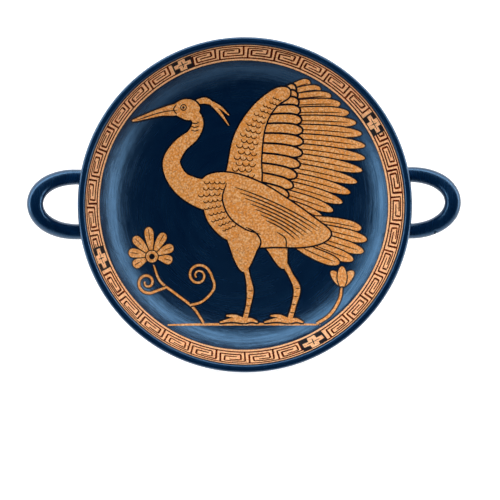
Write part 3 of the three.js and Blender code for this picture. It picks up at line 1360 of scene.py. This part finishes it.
FINISHES: dict[Paint, BlackSlip | BareClay | DrawnLine] = {
    Paint.SLIP: BlackSlip(),
    Paint.CLAY: BareClay("reserved_clay"),
    Paint.RELIEF_LINE: DrawnLine(
        "relief_line",
        full=(0.0006, 0.0020, 0.006, 1),
        dry=(0.004, 0.004, 0.008, 1),
        gloss=0.18,
    ),
    Paint.THIN_LINE: DrawnLine(
        "thinned_slip_line",
        full=(0.030, 0.007, 0.002, 1),
        dry=(0.15, 0.040, 0.010, 1),
        roughness=0.55,
        gloss=0.1,
    ),
    # The band's clay is paler and pinker than the figures': partly the clay's own colour, partly painted
    # light and sheen that make up for the light the steep wall lacks.
    Paint.BAND_CLAY: BareClay(
        "band_clay_with_painted_light",
        body=(0.69, 0.375, 0.205, 1),
        flush=(0.72, 0.345, 0.16, 1),
        fleck=0.8,
    ),
    Paint.FOOT_CLAY: BareClay("foot_clay", roughness=0.6),
    Paint.KEY_LINE: DrawnLine(
        "key_line",
        full=(0.035, 0.0022, 0.0005, 1),
        dry=(0.18, 0.026, 0.003, 1),
        roughness=0.55,
        gloss=0.03,
    ),
}


# ---- The cup ----


def put(name: str, data: bpy.types.ID | bmesh.types.BMesh) -> bpy.types.Object:
    """Puts an object into the scene.

    Args:
        name: Its name.
        data: Its data, or the mesh in the making that its data is made of.

    Returns:
        The object.
    """
    if isinstance(data, bmesh.types.BMesh):
        bm, data = data, bpy.data.meshes.new(name)
        bm.to_mesh(data)
        bm.free()
    thing = bpy.data.objects.new(name, data)
    bpy.context.scene.collection.objects.link(thing)
    return thing


@dataclass(frozen=True)
class BakeMap:
    """Where the parts of the cup lie on the square of the texture map.

    Args:
        disc: Middle and radius of the disc that holds the bowl's inside.
        strip: Start and width of the upright strip that holds the rest of the body.
        turn: Start and length of a full turn, up that strip.
        roll: Start and width of the level strip that holds the first handle.
        step: From there to the next handle's.
        length: Start and length of both.
    """

    disc: tuple[float, float] = (0.375, 0.37)
    strip: tuple[float, float] = (0.76, 0.235)
    turn: tuple[float, float] = (0.005, 0.99)
    roll: tuple[float, float] = (0.755, 0.11)
    step: float = 0.125
    length: tuple[float, float] = (0.005, 0.735)

    def body(self, bm: bmesh.types.BMesh, top: float, along: object) -> None:
        """Maps the body: the bowl's inside in plan, and the rest as one strip.

        Args:
            bm: The mesh, with the body in it.
            top: Plan radius of the bowl's inside.
            along: The layer of places along the section.
        """
        uv = bm.loops.layers.uv.new("OFBake")
        middle, radius = self.disc
        for face in bm.faces:
            inside = all(loop.vert[along] <= 0 for loop in face.loops)
            centre = face.calc_center_median()
            facing = math.atan2(centre.y, centre.x)
            for loop in face.loops:
                co = loop.vert.co
                if inside:
                    loop[uv].uv = (middle + radius * co.x / top, middle + radius * co.y / top)
                    continue
                turn = 0.0 if math.hypot(co.x, co.y) < NEAR else math.atan2(co.y, co.x) - facing
                turn = (turn + math.pi) % math.tau - math.pi
                share = min(1.0, max(0.0, (facing + turn) / math.tau + 0.5))
                start = self.strip[0] + self.strip[1] * max(0.0, loop.vert[along])
                loop[uv].uv = (start, self.turn[0] + self.turn[1] * share)

    def handle(self, bm: bmesh.types.BMesh, faces: list, number: int, around: object, along: object) -> None:
        """Maps a handle as a strip.

        Args:
            bm: The mesh.
            faces: The handle's faces.
            number: Which handle it is, from 0.
            around: The layer of places round the roll.
            along: The layer of places along it.
        """
        uv = bm.loops.layers.uv["OFBake"]
        base = self.roll[0] + self.step * number
        for face in faces:
            places = [loop.vert[around] for loop in face.loops]
            crossing = len(places) == 4 and max(places) - min(places) > 0.5
            for loop, place in zip(face.loops, places):
                turn = place + 1 if crossing and place < 0.5 else place
                loop[uv].uv = (self.length[0] + self.length[1] * loop.vert[along], base + self.roll[1] * turn)


@dataclass
class Kylix:
    """The whole cup: one mesh, cut along the painter's lines.

    Args:
        form: The thrown form.
        handles: Its two handles.
        turns: How many facets there are round it.
        weave: Distance between the rings of points that carry the bowl's curve.
        texture: Its texture map.
    """

    form: CupForm
    handles: tuple[Handle, Handle]
    turns: int = 256
    weave: float = 3.0
    texture: BakeMap = BakeMap()

    def painting(self) -> Painting:
        """Draws what the painter put inside the bowl.

        Returns:
            The drawing.
        """
        painting = Painting()
        for motif in (Plants(), WaterBird(), KeyBand(form=self.form)):
            motif.draw()
            painting.shapes += motif.shapes
        return painting

    def inside(self, bm: bmesh.types.BMesh, along: object) -> None:
        """Adds the inside of the bowl, cut along the edges of every shape in the painting.

        Args:
            bm: The mesh.
            along: The layer of places along the section, which are below zero inside the bowl.
        """
        painting = self.painting()
        plan, triangles, paints = painting.divide(float(self.form.wall_top[0]), self.turns, self.weave)
        verts = [bm.verts.new(place) for place in self.form.inside(plan)[0]]
        for vert in verts:
            vert[along] = -1
        for corners, paint in zip(triangles, paints):
            bm.faces.new([verts[i] for i in corners]).material_index = int(paint)
        LOG.info("painting: %d shapes, %d faces", len(painting.shapes), len(triangles))

    def outside(self, bm: bmesh.types.BMesh, along: object) -> None:
        """Turns the rest of the section.

        Args:
            bm: The mesh.
            along: The layer that takes each vertex's place along the section.
        """
        painted = bm.edges.layers.int.new("painted")
        bands = self.form.bands()
        whole = sum(lengths(band)[-1] for _, band in bands)
        start, last, profile = 0.0, None, []
        for paint, band in bands:
            places = start + lengths(band)
            start = places[-1]
            for place, (r, z) in list(zip(places, band))[1 if last else 0 :]:
                vert = bm.verts.new((r, 0, z))
                vert[along] = place / whole
                profile.append(vert)
                if last:
                    profile.append(bm.edges.new((last, vert)))
                    profile[-1][painted] = paint.value + 1
                last = vert
        bmesh.ops.spin(bm, geom=profile, axis=(0, 0, 1), angle=math.tau, steps=self.turns)
        for face in bm.faces:
            face.material_index = max(edge[painted] for edge in face.edges) - 1
        bm.edges.layers.int.remove(painted)

    def true_normals(self, mesh: bpy.types.Mesh) -> None:
        """Gives the inside of the bowl the normals of its arcs, whatever triangles it was cut into.

        Args:
            mesh: The finished mesh, in millimetres.
        """
        places = np.empty(len(mesh.vertices) * 3, np.float32)
        mesh.vertices.foreach_get("co", places)
        places = places.reshape(-1, 3).astype(float)
        over = np.linalg.norm(places[:, :2], axis=1) <= self.form.wall_top[0] + NEAR
        lifted, normals = self.form.inside(np.where(over[:, None], places[:, :2], 0))
        normals[~(over & (np.abs(lifted[:, 2] - places[:, 2]) < NEAR))] = 0
        mesh.normals_split_custom_set_from_vertices(normals)

    def build(self) -> bpy.types.Object:
        """Makes the piece, in the frame's metres, with its finishes and its map.

        Returns:
            The piece.
        """
        bm = bmesh.new()
        along = bm.verts.layers.float.new("along")
        around = bm.verts.layers.float.new("around")
        self.outside(bm, along)
        self.inside(bm, along)
        bmesh.ops.remove_doubles(bm, verts=bm.verts, dist=SEAM)
        bmesh.ops.recalc_face_normals(bm, faces=bm.faces)
        self.texture.body(bm, float(self.form.wall_top[0]), along)
        for number, handle in enumerate(self.handles):
            faces = handle.build(bm, around, along)
            bmesh.ops.recalc_face_normals(bm, faces=faces)
            self.texture.handle(bm, faces, number, around, along)
        for face in bm.faces:
            face.smooth = True
        for name in ("along", "around"):
            bm.verts.layers.float.remove(bm.verts.layers.float[name])
        piece = put("kylix", bm)
        for paint in Paint:
            piece.data.materials.append(FINISHES[paint].make())
        self.true_normals(piece.data)
        piece.data.transform(Matrix.Scale(MM, 4))
        return piece


# ---- The studio ----


@dataclass(frozen=True)
class Lamp:
    """A round soft light that is screened, so that it leaves no glare on the gloss.

    Args:
        name: Its name.
        power: Its power in watts.
        size: Its width.
        heading: Where it stands round the table, in degrees.
        height: How high it stands, in degrees.
        distance: How far it is from the cup.
    """

    name: str
    power: float
    size: float
    heading: float
    height: float
    distance: float = 2000.0

    def hang(self) -> None:
        """Hangs it over the table."""
        data = bpy.data.lights.new(self.name, "AREA")
        data.shape = "DISK"
        data.size = self.size * MM
        data.energy = self.power
        heading, height = math.radians(self.heading), math.radians(self.height)
        level = math.cos(height)
        back = Vector((level * math.cos(heading), level * math.sin(heading), math.sin(height)))
        light = put(self.name, data)
        light.location = back * self.distance * MM
        light.rotation_euler = back.to_track_quat("Z", "Y").to_euler()
        light.visible_glossy = False


@dataclass
class Studio:
    """A pale table, soft white walls of light low round it, and a camera nearly overhead.

    Args:
        rim_height: Height of the lip, on which the camera is focused.
        view_width: How much of the lip's plane the picture is wide, in millimetres.
        aim: The point of that plane in the middle of the picture.
        lean: How far the camera leans to the left of straight down, in degrees.
        distance: How far the camera is from the aim.
        clip: How near and how far the camera sees, in metres.
        floor_size: Side of the table.
        table: Its two greys.
        back_wall: How bright the light is behind the table and beside it.
        front_wall: How bright it is in front.
        ceiling: What share of that is left overhead.
        wall_fade: Sines of the heights between which it fades to the ceiling.
        front_fade: How far forwards it starts and ends turning to the front wall.
        table_glow: How brightly the table is lit from below.
        lamps: The lights overhead and in front.
    """

    rim_height: float
    view_width: float = 297.6
    aim: tuple[float, float] = (2.4, -27.0)
    lean: float = 4.2
    distance: float = 1400.0
    clip: tuple[float, float] = (0.05, 50.0)
    floor_size: float = 9000.0
    table: tuple[Colour, Colour] = ((0.88, 0.88, 0.88, 1), (0.92, 0.92, 0.92, 1))
    back_wall: float = 6.8
    front_wall: float = 1.4
    ceiling: float = 0.006
    wall_fade: tuple[float, float] = (0.15, 0.36)
    front_fade: tuple[float, float] = (-0.65, -0.1)
    table_glow: float = 0.5
    lamps: tuple[Lamp, ...] = (Lamp("key_light", 39.0, 1600, 92, 64), Lamp("fill_light", 18.0, 1200, 245, 35))

    def camera(self) -> None:
        """Places the camera."""
        data = bpy.data.cameras.new("camera")
        data.lens = data.sensor_width * self.distance / self.view_width
        data.clip_start, data.clip_end = self.clip
        camera = put("camera", data)
        lean = math.radians(self.lean)
        aim = Vector((*self.aim, self.rim_height))
        camera.location = (aim + self.distance * Vector((-math.sin(lean), 0, math.cos(lean)))) * MM
        camera.rotation_euler = (0, -lean, 0)
        bpy.context.scene.camera = camera

    def floor(self) -> None:
        """Lays the table."""
        bm = bmesh.new()
        bmesh.ops.create_grid(bm, x_segments=1, y_segments=1, size=self.floor_size * MM / 2)
        table = put("table", bm)
        recipe = Recipe("table_white")
        finish = recipe.finish(
            Base_Color=recipe.mix(recipe.grain(3.0, Detail=3), *self.table),
            Roughness=0.8,
            Specular_IOR_Level=0.2,
            Emission_Color=WHITE,
            Emission_Strength=self.table_glow,
        )
        table.data.materials.append(finish)

    def surroundings(self) -> None:
        """Makes the room: soft white walls low round the table, brightest behind it, and dark overhead."""
        world = bpy.data.worlds.new("studio")
        bpy.context.scene.world = world
        world.use_nodes = True
        room = Nodes(world.node_tree)
        place = room.add("ShaderNodeTexCoord").outputs["Generated"]
        _, ahead, up = room.add("ShaderNodeSeparateXYZ", place).outputs
        heights = (up, *self.wall_fade, 1, self.ceiling)
        sides = (ahead, *self.front_fade, self.front_wall, self.back_wall)
        fades = [room.spread(*fade, interpolation_type="SMOOTHSTEP") for fade in (heights, sides)]
        background = world.node_tree.nodes["Background"].inputs
        room.feed(background["Strength"], room.reckon("MULTIPLY", *fades))
        room.feed(background["Color"], WHITE)

    def build(self) -> None:
        """Sets up the whole studio."""
        self.camera()
        self.floor()
        for lamp in self.lamps:
            lamp.hang()
        self.surroundings()
        bpy.context.scene.view_settings.view_transform = "Standard"


RIM_INSET = 0.002  # how far the rim stays inside the solid's box
TIP_INSET = 5.1  # the thickest half of a handle's roll, and a little room


def main() -> None:
    """Builds the cup and the studio round it."""
    logging.basicConfig(level=logging.INFO, format="%(name)s: %(message)s")
    high = CAD_BOX[1] / MM
    form = CupForm(rim_radius=round(high.y, 3) - RIM_INSET, height=round(high.z, 3))
    right = Handle(form, tip=high.x - TIP_INSET, half_width=17.1, turn=0.9)
    left = Handle(form, tip=high.x - TIP_INSET, half_width=16.4, turn=179.8)
    kylix = Kylix(form, (right, left)).build()
    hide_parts("kylix_cup")
    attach(kylix, "root")
    LOG.info("%s: %d faces", kylix.name, len(kylix.data.polygons))
    Studio(rim_height=form.height).build()


if __name__ == "__main__":
    main()
